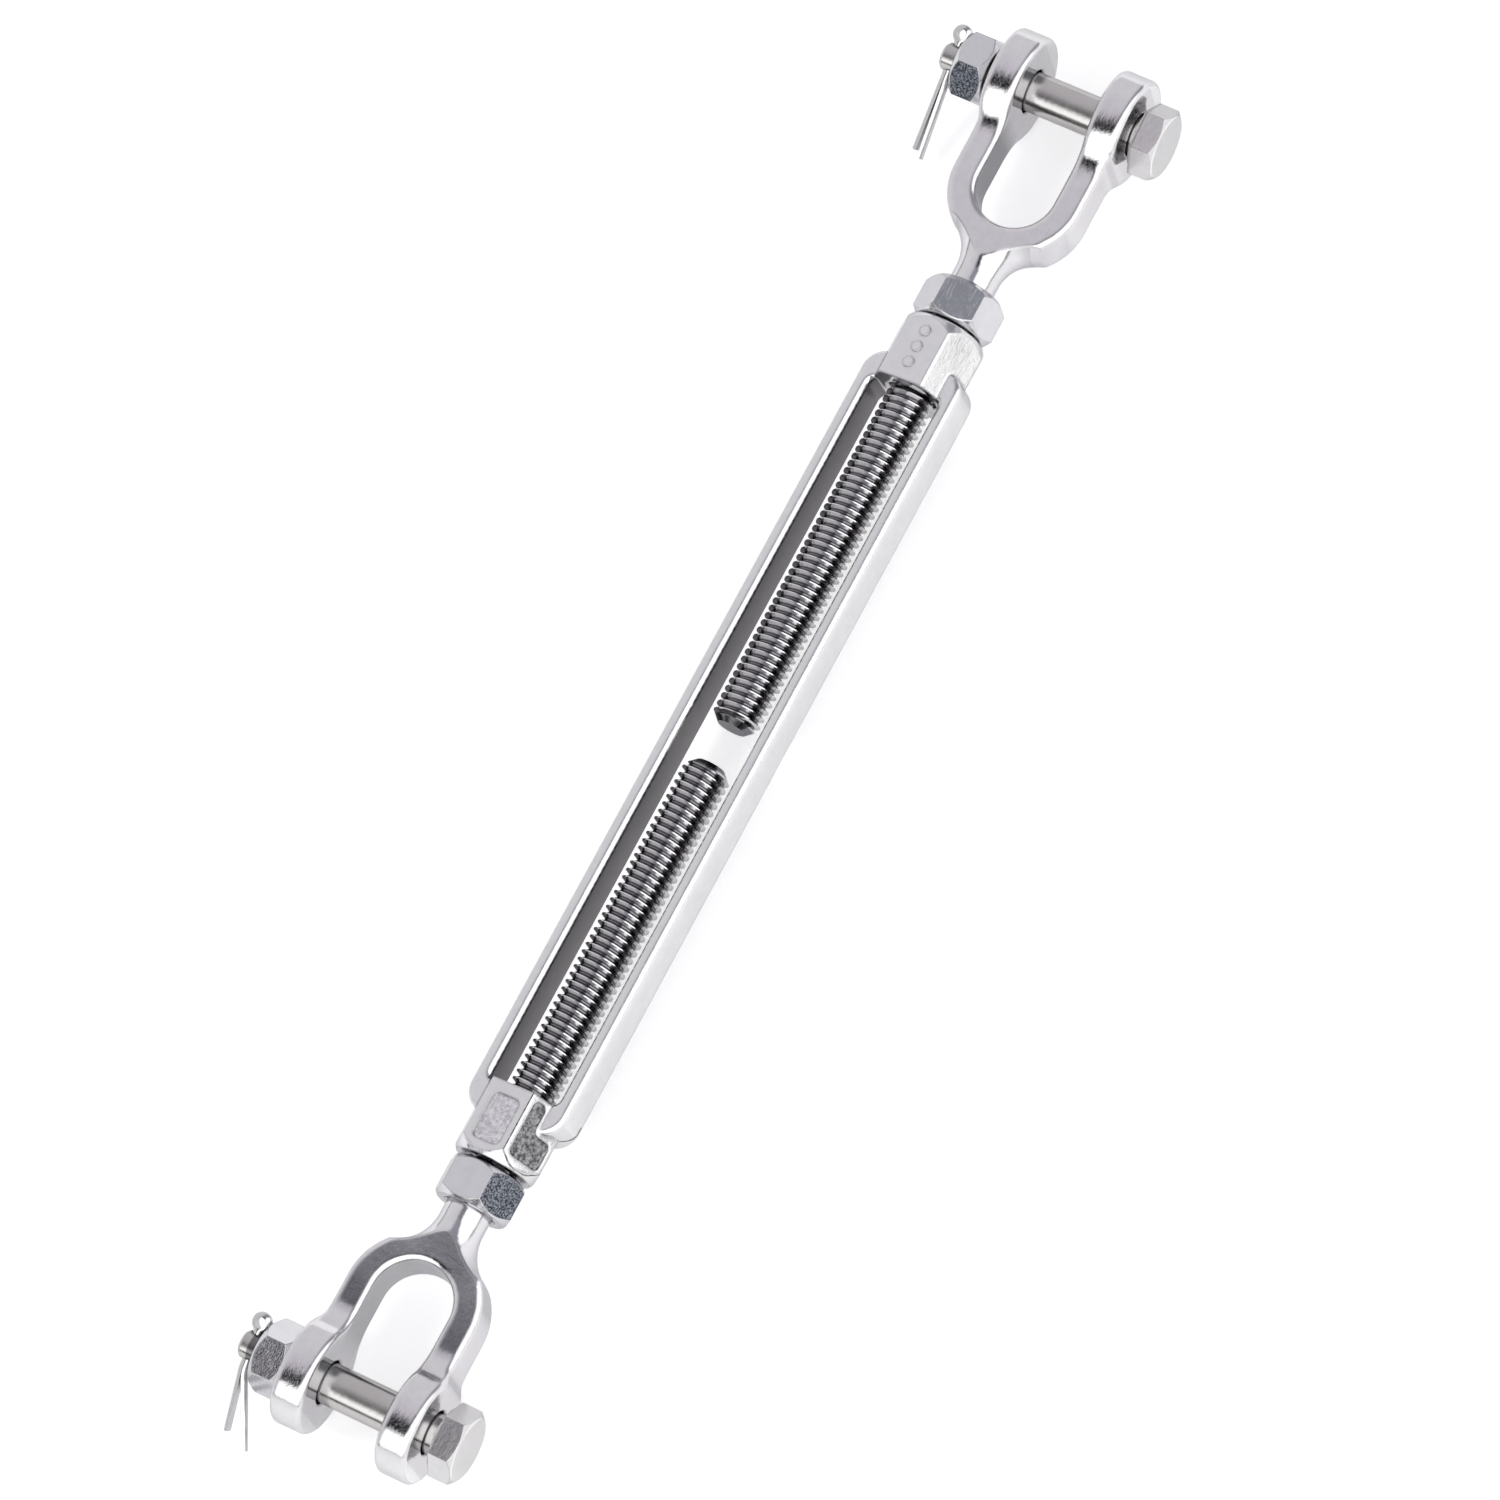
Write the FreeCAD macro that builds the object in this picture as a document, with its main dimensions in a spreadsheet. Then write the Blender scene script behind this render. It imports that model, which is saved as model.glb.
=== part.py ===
import FreeCAD, Part
import math
import os
import Sketcher

# Jaw-and-jaw rigging turnbuckle, 3/8 inch thread with 6 inches of take-up, in stainless steel.
# The open barrel joins two jaws on threads of opposite hands, with a lock nut behind each head of
# the barrel. A headed bolt crosses each jaw, with a hex nut and a split cotter pin on its far end.
#
# Row frame: millimetres, origin on the thread axis at the middle of the barrel, +X along the
# thread axis towards the upper jaw, +Y towards the clevis nuts, +Z up out of the front faces.
# The turnbuckle lies flat on the rims of its four clevis ears.

DRIVING = {
    # barrel
    "window_length": 152.4, "window_width": 15.2, "rail_thickness": 3.05, "rail_depth": 8.5,
    "rail_edge": 1.2, "window_corner": 2.0, "window_recess": 0.1, "shoulder_radius": 4.6,
    "rail_overlap": 6.0, "head_flats": 16.1, "head_length": 14.2, "head_edge": 0.5,
    "head_face_radius": 7.6, "head_cone_length": 3.6, "head_cone_rise": 2.35,
    "bore_radius": 4.85, "bore_mouth": 0.5, "barrel_turn": -9.5,
    "panel_depth": 0.3, "panel_margin": 0.9, "panel_length": 9.4, "panel_width": 5.8,
    "panel_corner": 1.2,
    "dot_radius": 1.1, "dot_spacing": 3.4, "dot_height": 0.2,
    # jaws, with distances along the jaw counted from the clevis pin's axis
    "upper_pin": 141.0, "lower_pin": -139.2, "clevis_gap": 15.6, "leg_outer": 13.3,
    "ear_outer": 14.3, "leg_depth": 10.0, "ear_radius": 10.9, "ear_end": 10.5,
    "ear_crease": 7.8, "ear_root_radius": 8.0, "step_start": 7.0, "step_radius": 5.0,
    "upper_crown": 20.6, "lower_crown": 19.2, "neck_radius": 4.55, "flare_radius": 9.0,
    "flare_bite": 0.15,
    "blank_radius": 19.0, "fork_edge": 1.0, "pin_hole_radius": 4.35, "hole_edge": 0.25,
    # stud thread, 3/8-16 UNC
    "stud_radius": 4.72, "thread_pitch": 1.5875, "thread_depth": 0.974, "thread_root": 0.26,
    "thread_crest": 0.2, "thread_start": 41.0, "upper_tip": 137.4, "lower_tip": 134.6,
    "stud_point": 1.8,
    # lock nuts
    "lock_flats": 14.29, "lock_thickness": 8.33, "lock_face_radius": 6.75, "lock_bore": 4.82,
    "lock_gap": 0.7, "upper_lock_turn": 10.5, "lower_lock_turn": -7.5,
    # clevis bolts, 5/16-18 UNC
    "shank_radius": 3.97, "bolt_length": 42.3, "bolt_flats": 12.7, "bolt_head": 5.33,
    "bolt_face_radius": 6.0, "washer_face": 0.4, "washer_radius": 5.9, "point_radius": 2.7,
    "point_length": 4.6, "point_edge": 0.5, "cross_hole": 1.15, "cross_hole_inset": 1.9,
    "head_turn": -13.0, "bolt_pitch": 1.411, "bolt_thread_start": 28.0,
    "upper_bearing": -15.4, "lower_bearing": -16.4,
    # clevis nuts
    "nut_thickness": 6.75, "nut_face_radius": 5.95, "nut_bore": 4.03, "upper_nut_seat": 16.15,
    "lower_nut_seat": 14.8, "upper_nut_turn": 11.0, "lower_nut_turn": -16.0,
    # cotter pins, whose inner legs are the ones beside the nut
    "wire_radius": 1.0, "leg_gap": 0.05, "eye_radius": 1.0, "eye_throat": 1.4,
    "throat_start": 2.9, "bend_start": 4.0, "bend_radius": 6.0, "cotter_turn": -22.0,
    "upper_inner_bend": 2.6, "upper_inner_leg": 15.8, "upper_outer_bend": 0.3,
    "upper_outer_leg": 14.7, "lower_inner_bend": 23.0, "lower_inner_leg": 13.1,
    "lower_outer_bend": 8.5, "lower_outer_leg": 11.4,
}

ALONG_X = FreeCAD.Vector(1, 0, 0)
ALONG_Y = FreeCAD.Vector(0, 1, 0)
ALONG_Z = FreeCAD.Vector(0, 0, 1)

doc = FreeCAD.newDocument("Turnbuckle")
sheet = doc.addObject("Spreadsheet::Sheet", "Sizes")
for row, (alias, number) in enumerate(DRIVING.items(), start=1):
    sheet.set(f"A{row}", alias)
    sheet.set(f"B{row}", str(number))
    sheet.setAlias(f"B{row}", alias)
doc.recompute()


class Size:
    """A length or angle of the sheet, or worked out from some, with the expression that says how."""

    def __init__(self, value, text):
        self.value = value
        self.text = text

    def joined(self, other, sign, result):
        return Size(result, f"({self.text} {sign} {size(other).text})")

    def __add__(self, other):
        return self.joined(other, "+", self.value + size(other).value)

    def __sub__(self, other):
        return self.joined(other, "-", self.value - size(other).value)

    def __mul__(self, other):
        return self.joined(other, "*", self.value * size(other).value)

    def __truediv__(self, other):
        return self.joined(other, "/", self.value / size(other).value)

    def __neg__(self):
        return Size(-self.value, f"(0 - {self.text})")


def size(number):
    return number if isinstance(number, Size) else Size(float(number), repr(float(number)))


def cell(alias):
    return Size(float(sheet.get(alias)), f"Sizes.{alias}")


def root(square):
    return Size(math.sqrt(square.value), f"sqrt({square.text})")


def sine(angle):
    return Size(math.sin(math.radians(angle.value)), f"sin({angle.text} * 1 deg)")


def cosine(angle):
    return Size(math.cos(math.radians(angle.value)), f"cos({angle.text} * 1 deg)")


def bind(thing, **sizes):
    for name, bound in sizes.items():
        thing.setExpression(name, bound.text)


# ---------------------------------------------------------------- sketches

START, END, CENTRE = 1, 2, 3
H_AXIS, V_AXIS = -1, -2


def plane_of(body, role):
    return next(f for f in body.Origin.OriginFeatures if f.Role == role)


def new_sketch(body, name, role, offset=None):
    sketch = body.newObject("Sketcher::SketchObject", name)
    sketch.AttachmentSupport = (plane_of(body, role), "")
    sketch.MapMode = "FlatFace"
    if offset is not None:
        sketch.AttachmentOffset = offset
    return sketch


def bound(sketch, constraint, measure):
    index = sketch.addConstraint(constraint)
    sketch.setExpression(f"Constraints[{index}]", measure.text)


def pin_point(sketch, geometry, end, x, y):
    """Holds a point of the sketch at the two sizes."""
    for kind, axis, measure in (("DistanceX", V_AXIS, size(x)), ("DistanceY", H_AXIS, size(y))):
        if abs(measure.value) < 1e-9:
            sketch.addConstraint(Sketcher.Constraint("PointOnObject", geometry, end, axis))
        elif measure.value > 0:
            bound(sketch, Sketcher.Constraint(kind, -1, 1, geometry, end, measure.value), measure)
        else:
            away = -measure
            bound(sketch, Sketcher.Constraint(kind, geometry, end, -1, 1, away.value), away)


def arc_between(start, end, radius, turn):
    """The minor arc from start to end. turn is 1 for counter-clockwise and -1 for clockwise."""
    half = (end - start) * 0.5
    rise = math.sqrt(max(radius * radius - half.Length * half.Length, 0.0))
    side = FreeCAD.Vector(-half.y, half.x, 0)
    side.normalize()
    centre = start + half + side * (rise * turn)
    first, last = (start, end) if turn > 0 else (end, start)
    angles = [math.atan2(p.y - centre.y, p.x - centre.x) for p in (first, last)]
    if angles[1] < angles[0]:
        angles[1] += 2 * math.pi
    circle = Part.Circle(centre, FreeCAD.Vector(0, 0, 1), radius)
    return Part.ArcOfCircle(circle, angles[0], angles[1])


def draw(sketch, corners, closed=True):
    """Draws one chain of lines and arcs, with every corner and radius bound to the sheet.

    A corner is (x, y), reached by a line, or (x, y, radius, turn), reached by an arc.
    """
    places = [FreeCAD.Vector(size(c[0]).value, size(c[1]).value, 0) for c in corners]
    order = range(len(corners)) if closed else range(1, len(corners))
    made = []
    for n in order:
        corner = corners[n]
        if len(corner) == 2:
            shape, ends = Part.LineSegment(places[n - 1], places[n]), (START, END)
        else:
            shape = arc_between(places[n - 1], places[n], corner[2].value, corner[3])
            ends = (START, END) if corner[3] > 0 else (END, START)
        made.append((sketch.addGeometry(shape, False), ends, corner))
    for n, (geometry, ends, corner) in enumerate(made):
        if closed or n > 0:
            before, before_ends, _ = made[n - 1]
            sketch.addConstraint(
                Sketcher.Constraint("Coincident", before, before_ends[1], geometry, ends[0]))
        if len(corner) == 4:
            bound(sketch, Sketcher.Constraint("Radius", geometry, corner[2].value), corner[2])
        pin_point(sketch, geometry, ends[1], corner[0], corner[1])
    if not closed:
        pin_point(sketch, made[0][0], made[0][1][0], corners[0][0], corners[0][1])


def draw_circle(sketch, x, y, radius):
    centre = FreeCAD.Vector(size(x).value, size(y).value, 0)
    circle = Part.Circle(centre, FreeCAD.Vector(0, 0, 1), radius.value)
    geometry = sketch.addGeometry(circle, False)
    bound(sketch, Sketcher.Constraint("Radius", geometry, radius.value), radius)
    pin_point(sketch, geometry, CENTRE, x, y)


def hexagon(sketch, flats, turn=None):
    """A hexagon about the sketch's origin, one flat facing its vertical axis, then turned."""
    turn = turn or size(0)
    corner_radius = flats / root(size(3))
    draw(sketch, [
        (corner_radius * cosine(turn + step), corner_radius * sine(turn + step))
        for step in range(0, 360, 60)
    ])


def mirrored_corners(corners):
    """The same chain on the other side of the sketch's horizontal axis."""
    return [(c[0], -size(c[1])) if len(c) == 2 else (c[0], -size(c[1]), c[2], -c[3])
            for c in corners]


# ---------------------------------------------------------------- features

def new_body(label):
    body = doc.addObject("PartDesign::Body", label)
    body.Label = label
    return body


def extruded(body, kind, name, sketch, length=None, both_ways=False, backwards=False):
    """A Pad or Pocket of the sketch. With no length, it goes through everything."""
    feature = body.newObject(f"PartDesign::{kind}", name)
    feature.Profile = sketch
    feature.AllowMultiFace = True
    feature.SideType = "Symmetric" if both_ways else "One side"
    feature.Reversed = backwards
    if length is None:
        feature.Type = "ThroughAll"
    else:
        feature.Type = "Length"
        feature.Length = length.value
        bind(feature, Length=length)
    sketch.Visibility = False
    doc.recompute()
    return feature


def turned(body, kind, name, sketch, axis):
    """A Revolution or Groove of the sketch about its own H_Axis or V_Axis."""
    feature = body.newObject(f"PartDesign::{kind}", name)
    feature.Profile = sketch
    feature.ReferenceAxis = (sketch, [axis])
    feature.Angle = 360.0
    sketch.Visibility = False
    doc.recompute()
    return feature


def edges_where(shape, keep):
    return [f"Edge{n}" for n, edge in enumerate(shape.Edges, start=1) if keep(edge)]


def rounded(body, name, radius, keep):
    """Fillets the edges of the body's tip that keep() picks."""
    base = body.Tip
    feature = body.newObject("PartDesign::Fillet", name)
    feature.Base = (base, edges_where(base.Shape, keep))
    feature.Radius = radius.value
    bind(feature, Radius=radius)
    doc.recompute()
    return feature


def bevelled(body, name, width, keep):
    """Chamfers the edges of the body's tip that keep() picks."""
    base = body.Tip
    feature = body.newObject("PartDesign::Chamfer", name)
    feature.Base = (base, edges_where(base.Shape, keep))
    feature.Size = width.value
    bind(feature, Size=width)
    doc.recompute()
    return feature


def thread_groove(body, name, role, axis, form, travel, left_handed, backwards):
    """Cuts a helical V groove. The form's sizes and its place along the axis come in form."""
    sketch = new_sketch(body, f"{name}_form", role)
    draw(sketch, form)
    helix = body.newObject("PartDesign::SubtractiveHelix", name)
    helix.Profile = sketch
    helix.ReferenceAxis = (sketch, [axis])
    helix.Mode = "pitch-height-angle"
    pitch, height = travel
    bind(helix, Pitch=pitch, Height=height)
    helix.LeftHanded = left_handed
    helix.Reversed = backwards
    sketch.Visibility = False
    doc.recompute()
    return helix


def circle_at(edge, radius, tolerance=0.02):
    """Whether the edge is a full circle of this radius."""
    return edge.isClosed() and abs(edge.Length - 2 * math.pi * radius) < tolerance


# ---------------------------------------------------------------- barrel

def barrel():
    """Open body: two hexagonal heads, bored through, joined by two flat rails."""
    body = new_body("barrel")
    half_window = cell("window_length") / 2
    window_y = cell("window_width") / 2
    rail_y = window_y + cell("rail_thickness")
    frame_x = half_window + cell("rail_overlap")
    shoulder = cell("shoulder_radius")
    shoulder_y = rail_y - shoulder
    straight_x = frame_x - shoulder
    # the rails' own opening ends just inside the heads, so that the heads' faces close the window
    opening_x = half_window + cell("window_recess")
    corner = cell("window_corner")
    corner_x = opening_x - corner
    corner_y = window_y - corner

    frame = new_sketch(body, "rail_frame", "XY_Plane")
    draw(frame, [
        (frame_x, shoulder_y), (straight_x, rail_y, shoulder, 1),
        (-straight_x, rail_y), (-frame_x, shoulder_y, shoulder, 1),
        (-frame_x, -shoulder_y), (-straight_x, -rail_y, shoulder, 1),
        (straight_x, -rail_y), (frame_x, -shoulder_y, shoulder, 1),
    ])
    draw(frame, [
        (corner_x, -window_y), (opening_x, -corner_y, corner, 1),
        (opening_x, corner_y), (corner_x, window_y, corner, 1),
        (-corner_x, window_y), (-opening_x, corner_y, corner, 1),
        (-opening_x, -corner_y), (-corner_x, -window_y, corner, 1),
    ])
    extruded(body, "Pad", "rails", frame, cell("rail_depth"), both_ways=True)
    rounded(body, "rail_edges", cell("rail_edge"), lambda e: e.BoundBox.ZLength < 1e-6)

    head_end = half_window + cell("head_length")
    for side, outward in (("upper", 1), ("lower", -1)):
        start = FreeCAD.Placement(FreeCAD.Vector(0, 0, outward * half_window.value),
                                  FreeCAD.Rotation())
        hexagonal = new_sketch(body, f"{side}_head_section", "YZ_Plane", start)
        bind(hexagonal, **{"AttachmentOffset.Base.z": half_window * outward})
        hexagon(hexagonal, cell("head_flats"))
        extruded(body, "Pad", f"{side}_head", hexagonal, cell("head_length"),
                 backwards=outward < 0)

    half_flats = cell("head_flats").value / 2
    rounded(body, "head_edges", cell("head_edge"),
            lambda e: len(e.Vertexes) == 2 and e.BoundBox.XLength > 10
            and all(abs(abs(v.Z) - half_flats) < 1e-3 for v in e.Vertexes)
            and abs(e.CenterOfMass.x) > half_window.value)

    face_r = cell("head_face_radius")
    cone_top = face_r + cell("head_cone_rise")
    cone = new_sketch(body, "head_cones", "XY_Plane")
    draw(cone, [(head_end, face_r), (head_end, cone_top),
                (head_end - cell("head_cone_length"), cone_top)])
    draw(cone, [(-head_end, face_r), (-head_end, cone_top),
                (-(head_end - cell("head_cone_length")), cone_top)])
    turned(body, "Groove", "head_chamfers", cone, "H_Axis")

    bore = new_sketch(body, "bore_section", "YZ_Plane")
    draw_circle(bore, size(0), size(0), cell("bore_radius"))
    extruded(body, "Pocket", "bore", bore, both_ways=True)
    bore_radius = cell("bore_radius").value
    bevelled(body, "bore_mouths", cell("bore_mouth"), lambda e: circle_at(e, bore_radius))

    front = FreeCAD.Placement(FreeCAD.Vector(0, 0, half_flats), FreeCAD.Rotation())
    middle_x = half_window + cell("head_length") / 2
    panel = new_sketch(body, "front_panel_outline", "XY_Plane", front)
    bind(panel, **{"AttachmentOffset.Base.z": cell("head_flats") / 2})
    near_x = middle_x - cell("panel_length") / 2
    far_x = middle_x + cell("panel_length") / 2
    panel_y = cell("panel_width") / 2
    draw(panel, [(-near_x, -panel_y), (-near_x, panel_y), (-far_x, panel_y), (-far_x, -panel_y)])
    extruded(body, "Pocket", "front_panel", panel, cell("panel_depth"))

    margin = cell("panel_margin")
    side_length = cell("head_flats") / root(size(3))
    slant = FreeCAD.Placement(FreeCAD.Vector(), FreeCAD.Rotation(ALONG_X, 60))
    slant.Base = slant.Rotation.multVec(ALONG_Z * half_flats)
    side_panel = new_sketch(body, "side_panel_outline", "XY_Plane", slant)
    bind(side_panel, **{
        "AttachmentOffset.Base.y": -(cell("head_flats") / 2 * sine(size(60))),
        "AttachmentOffset.Base.z": cell("head_flats") / 2 * cosine(size(60)),
    })
    below_rail = (cell("head_flats") - cell("rail_depth")) / root(size(3))
    rail_line = side_length / 2 - below_rail + margin / 2
    inner_x = half_window + margin
    past_rail = frame_x + margin / 2
    outer_x = head_end - margin * 2.4
    edge_y = side_length / 2 - margin
    draw(side_panel, [
        (-inner_x, edge_y), (-outer_x, edge_y), (-outer_x, -edge_y),
        (-past_rail, -edge_y), (-past_rail, rail_line), (-inner_x, rail_line),
    ])
    extruded(body, "Pocket", "side_panel", side_panel, cell("panel_depth"))
    panel_depth = cell("panel_depth").value
    rounded(body, "panel_corners", cell("panel_corner"),
            lambda e: abs(e.Length - panel_depth) < 1e-4 and e.BoundBox.XLength < 1e-6)

    dots = new_sketch(body, "front_dots_outline", "XY_Plane", front)
    bind(dots, **{"AttachmentOffset.Base.z": cell("head_flats") / 2})
    for place in (-1, 0, 1):
        draw_circle(dots, middle_x + cell("dot_spacing") * place, size(0), cell("dot_radius"))
    extruded(body, "Pad", "front_dots", dots, cell("dot_height"))

    return body


# ---------------------------------------------------------------- jaws

def stud_thread_form(tip):
    """The V groove just past the stud's tip, wide enough to clear the crest."""
    pitch = cell("thread_pitch")
    crest = cell("stud_radius")
    past = tip + pitch
    over = cell("thread_crest")
    half_mouth = (pitch - over) / 2
    half_root = cell("thread_root") / 2
    floor = crest - cell("thread_depth")
    slope = (half_mouth - half_root) / cell("thread_depth")
    lip = crest + over
    half_lip = half_mouth + slope * over
    return [(past - half_lip, lip), (past - half_root, floor),
            (past + half_root, floor), (past + half_lip, lip)]


def jaw(side, left_handed):
    """Fork, neck and threaded stud in one piece. The pin's axis is Y and the stud runs along +X."""
    label = f"{side}_jaw"
    body = new_body(label)
    blank = cell("blank_radius")
    neck = cell("neck_radius")
    flare = cell("flare_radius")
    crown = cell(f"{side}_crown")
    leg_outer = cell("leg_outer")
    gap_y = cell("clevis_gap") / 2
    end_x = -(cell("ear_end") + 2)
    # the flare touches the neck and just cuts into the arc of the crown's outside
    reach = leg_outer + flare - cell("flare_bite")
    neck_x = crown + root(reach * reach - (neck + flare) * (neck + flare))
    touch_x = crown + (neck_x - crown) * leg_outer / reach
    touch_y = (neck + flare) * leg_outer / reach

    turning = new_sketch(body, f"{label}_turned_outline", "XY_Plane")
    stud = cell("stud_radius")
    tip = cell(f"{side}_tip")
    point = cell("stud_point")
    draw(turning, [
        (end_x, size(0)), (tip, size(0)), (tip, stud - point), (tip - point, stud),
        (cell("thread_start"), stud), (cell("thread_start") - (stud - neck), neck),
        (neck_x, neck), (neck_x - flare, neck + flare, flare, -1),
        (neck_x - flare, blank), (end_x, blank),
    ])
    turned(body, "Revolution", f"{label}_blank", turning, "H_Axis")

    step = cell("step_radius")
    rise = cell("ear_outer") - leg_outer
    step_run = root(step * rise - rise * rise / 4)
    step_x = cell("step_start")
    outside = [
        (end_x - 1, blank), (end_x - 1, cell("ear_outer")), (step_x, cell("ear_outer")),
        (step_x + step_run, cell("ear_outer") - rise / 2, step, -1),
        (step_x + step_run * 2, leg_outer, step, 1),
        (crown, leg_outer), (touch_x, touch_y, leg_outer, -1), (touch_x, blank),
    ]
    fork_front = new_sketch(body, f"{label}_front_outline", "XY_Plane")
    draw(fork_front, outside)
    draw(fork_front, mirrored_corners(outside))
    draw(fork_front, [
        (end_x - 1, gap_y), (end_x - 1, -gap_y), (crown, -gap_y),
        (crown + gap_y, size(0), gap_y, 1), (crown, gap_y, gap_y, 1),
    ])
    extruded(body, "Pocket", f"{label}_fork_front", fork_front, both_ways=True)

    half_depth = cell("leg_depth") / 2
    ear = cell("ear_radius")
    ear_root = cell("ear_root_radius")
    # the root arc touches the leg's face and the ear's rim
    span = ear + ear_root
    root_z = half_depth + ear_root
    root_x = root(span * span - root_z * root_z)
    rim_x = root_x * ear / span
    rim_z = root_z * ear / span
    crease = cell("ear_crease")
    crease_z = root(ear * ear - crease * crease)
    sag = cell("ear_end") - crease
    end_radius = (crease_z * crease_z + sag * sag) / (sag * 2)
    clear_x = neck_x - flare / 4
    profile = [
        (clear_x, half_depth), (root_x, half_depth), (rim_x, rim_z, ear_root, -1),
        (-crease, crease_z, ear, 1), (-cell("ear_end"), size(0), end_radius, 1),
        (-crease, -crease_z, end_radius, 1), (rim_x, -rim_z, ear, 1),
        (root_x, -half_depth, ear_root, -1), (clear_x, -half_depth),
        (clear_x, -blank), (end_x - 1, -blank), (end_x - 1, blank), (clear_x, blank),
    ]
    fork_side = new_sketch(body, f"{label}_side_outline", "XZ_Plane")
    draw(fork_side, profile)
    extruded(body, "Pocket", f"{label}_fork_side", fork_side, both_ways=True)

    stud_zone = neck_x.value - flare.value / 2
    rounded(body, f"{label}_fork_edges", cell("fork_edge"),
            lambda e: fork_edge(e, stud_zone, leg_outer.value))

    hole = new_sketch(body, f"{label}_pin_hole_section", "XZ_Plane")
    draw_circle(hole, size(0), size(0), cell("pin_hole_radius"))
    extruded(body, "Pocket", f"{label}_pin_hole", hole, both_ways=True)
    hole_radius = cell("pin_hole_radius").value
    bevelled(body, f"{label}_hole_edges", cell("hole_edge"), lambda e: circle_at(e, hole_radius))

    height = tip - cell("thread_start") + cell("thread_pitch") / 2
    thread_groove(body, f"{label}_thread", "XY_Plane", "H_Axis", stud_thread_form(tip),
                  (cell("thread_pitch"), height), left_handed, backwards=True)
    return body


def fork_edge(edge, stud_zone, leg_outer):
    """Edges between the fork's front or back and its sides: none across a leg, none on the neck."""
    box = edge.BoundBox
    if box.XMax > stud_zone or box.ZMin * box.ZMax < -1.0:
        return False
    return box.XLength > 1.0 or box.YLength < 1e-6


def place(body, x, y=0.0, axis=ALONG_Z, angle=0.0):
    """Puts a body at sizes of the sheet: a move along X and Y, and a turn about one axis."""
    x, y, angle = size(x), size(y), size(angle)
    body.Placement = FreeCAD.Placement(FreeCAD.Vector(x.value, y.value, 0),
                                       FreeCAD.Rotation(axis, angle.value))
    bind(body, **{"Placement.Base.x": x, "Placement.Base.y": y,
                  "Placement.Rotation.Angle": angle})


# ---------------------------------------------------------------- nuts and bolts

def hex_nut(label, role, flats, thickness, face_radius, bore):
    """A full hex nut, bevelled at both ends, whose first face is on the origin plane."""
    body = new_body(label)
    section = new_sketch(body, f"{label}_section", role)
    hexagon(section, flats)
    along_x = role == "YZ_Plane"
    extruded(body, "Pad", f"{label}_blank", section, thickness, backwards=not along_x)

    corner = flats / root(size(3)) + 0.5
    bevel = corner - face_radius
    ends = new_sketch(body, f"{label}_bevels", "XY_Plane")
    first = [(size(0), face_radius), (size(0), corner), (bevel, corner)]
    last = [(thickness, face_radius), (thickness, corner), (thickness - bevel, corner)]
    for chain in (first, last):
        draw(ends, chain if along_x else [(radius, along) for along, radius in chain])
    turned(body, "Groove", f"{label}_chamfers", ends, "H_Axis" if along_x else "V_Axis")

    hole = new_sketch(body, f"{label}_bore_section", role)
    draw_circle(hole, size(0), size(0), bore)
    extruded(body, "Pocket", f"{label}_bore", hole, both_ways=True)
    bevelled(body, f"{label}_bore_mouths", cell("bore_mouth"), lambda e: circle_at(e, bore.value))
    return body


def clevis_bolt(label):
    """Hex bolt along +Y from its bearing face at the origin, with a drilled plain point."""
    body = new_body(label)
    shank = cell("shank_radius")
    length = cell("bolt_length")
    point = cell("point_radius")
    shoulder_y = length - cell("point_length")
    washer = cell("washer_radius")
    outline = new_sketch(body, f"{label}_turned_outline", "XY_Plane")
    draw(outline, [
        (size(0), -cell("bolt_head") / 2), (washer, -cell("bolt_head") / 2), (washer, size(0)),
        (shank, size(0)), (shank, shoulder_y - (shank - point) / 2), (point, shoulder_y),
        (point, length - cell("point_edge")), (point - cell("point_edge"), length),
        (size(0), length),
    ])
    turned(body, "Revolution", f"{label}_shank", outline, "V_Axis")

    start = FreeCAD.Placement(FreeCAD.Vector(0, 0, cell("washer_face").value), FreeCAD.Rotation())
    section = new_sketch(body, f"{label}_head_section", "XZ_Plane", start)
    bind(section, **{"AttachmentOffset.Base.z": cell("washer_face")})
    hexagon(section, cell("bolt_flats"), cell("head_turn"))
    extruded(body, "Pad", f"{label}_head", section, cell("bolt_head") - cell("washer_face"))

    corner = cell("bolt_flats") / root(size(3)) + 0.5
    fall = (corner - cell("bolt_face_radius")) * 0.7
    top = -cell("bolt_head")
    bevel = new_sketch(body, f"{label}_head_bevel", "XY_Plane")
    draw(bevel, [(cell("bolt_face_radius"), top), (corner, top), (corner, top + fall)])
    turned(body, "Groove", f"{label}_head_chamfer", bevel, "V_Axis")

    hole = new_sketch(body, f"{label}_cross_hole_section", "YZ_Plane")
    draw_circle(hole, length - cell("cross_hole_inset"), size(0), cell("cross_hole"))
    extruded(body, "Pocket", f"{label}_cross_hole", hole, both_ways=True)

    pitch = cell("bolt_pitch")
    crest = cell("shank_radius")
    depth = pitch * 0.6
    past = shoulder_y + pitch / 2
    form = [(crest + 0.2, past - pitch * 0.52), (crest - depth, past - pitch * 0.09),
            (crest - depth, past + pitch * 0.09), (crest + 0.2, past + pitch * 0.52)]
    thread_groove(body, f"{label}_thread", "XY_Plane", "V_Axis", form,
                  (pitch, past - cell("bolt_thread_start")), False, backwards=True)
    return body


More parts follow.
